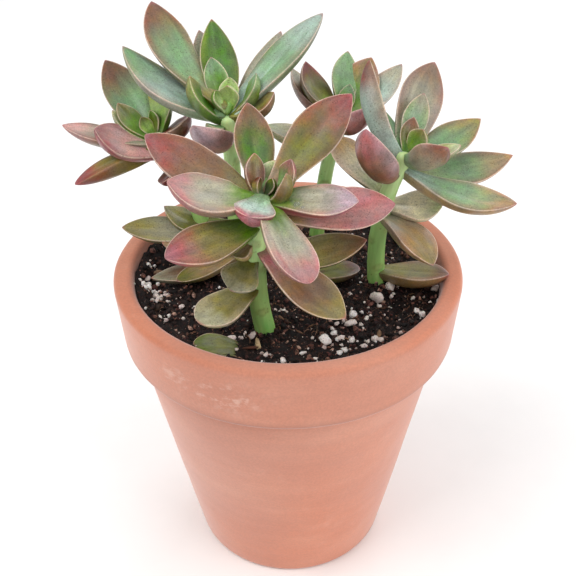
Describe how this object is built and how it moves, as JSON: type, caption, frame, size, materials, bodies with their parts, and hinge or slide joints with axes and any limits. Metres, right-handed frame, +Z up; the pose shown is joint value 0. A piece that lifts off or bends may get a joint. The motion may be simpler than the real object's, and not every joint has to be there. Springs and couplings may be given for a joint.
{
  "type": "potted succulent",
  "caption": "Leggy rosette succulent with fleshy green, olive and pink leaves on bare stems, growing from dark soil in a tapered terracotta pot with a thick rim band.",
  "frame": {"origin": "centre of the pot's flat base, on the surface it stands on", "axes": "+Z up along the pot's axis; +Y towards the back of the plant, -Y towards the front, +X to the right seen from the front"},
  "size_m": [0.1336, 0.108, 0.1785],
  "materials": {
    "terracotta": "unglazed matte, faint chalky bloom",
    "soil": "loose dark fibrous potting mix with white perlite",
    "stem": "smooth fleshy green skin",
    "leaf": "waxy semi-gloss skin, green to olive, flushed pink and wine red at tips and edges"
  },
  "bodies": {
    "root": {"fallen_leaf_1": "leaf", "fallen_leaf_2": "leaf", "leaf_a_01": "leaf", "leaf_a_02": "leaf", "leaf_a_03": "leaf", "leaf_a_04": "leaf", "leaf_a_05": "leaf", "leaf_a_06": "leaf", "leaf_a_07": "leaf", "leaf_a_08": "leaf", "leaf_a_09": "leaf", "leaf_a_15": "leaf", "leaf_a_16": "leaf", "leaf_a_17": "leaf", "leaf_a_20": "leaf", "leaf_b_01": "leaf", "leaf_b_02": "leaf", "leaf_b_03": "leaf", "leaf_b_10": "leaf", "leaf_b_12": "leaf", "leaf_b_14": "leaf", "leaf_b_16": "leaf", "leaf_b_17": "leaf", "leaf_b_low_1": "leaf", "leaf_b_low_2": "leaf", "leaf_b_low_3": "leaf", "leaf_b_low_4": "leaf", "leaf_b_low_5": "leaf", "leaf_c_01": "leaf", "leaf_c_03": "leaf", "leaf_c_06": "leaf", "leaf_c_07": "leaf", "leaf_c_09": "leaf", "leaf_c_10": "leaf", "leaf_c_11": "leaf", "leaf_c_12": "leaf", "leaf_c_14": "leaf", "leaf_c_15": "leaf", "leaf_c_16": "leaf", "leaf_d_01": "leaf", "leaf_d_03": "leaf", "leaf_d_05": "leaf", "leaf_d_06": "leaf", "leaf_d_07": "leaf", "leaf_d_08": "leaf", "leaf_e_01": "leaf", "leaf_e_02": "leaf", "leaf_e_03": "leaf", "leaf_e_04": "leaf", "leaf_e_05": "leaf", "leaf_e_06": "leaf", "leaf_e_07": "leaf", "pot": "terracotta", "shoot_a": "stem", "shoot_b": "stem", "shoot_c": "stem", "shoot_d": "stem", "shoot_e": "stem", "soil": "soil"}
  },
  "joints": []
}
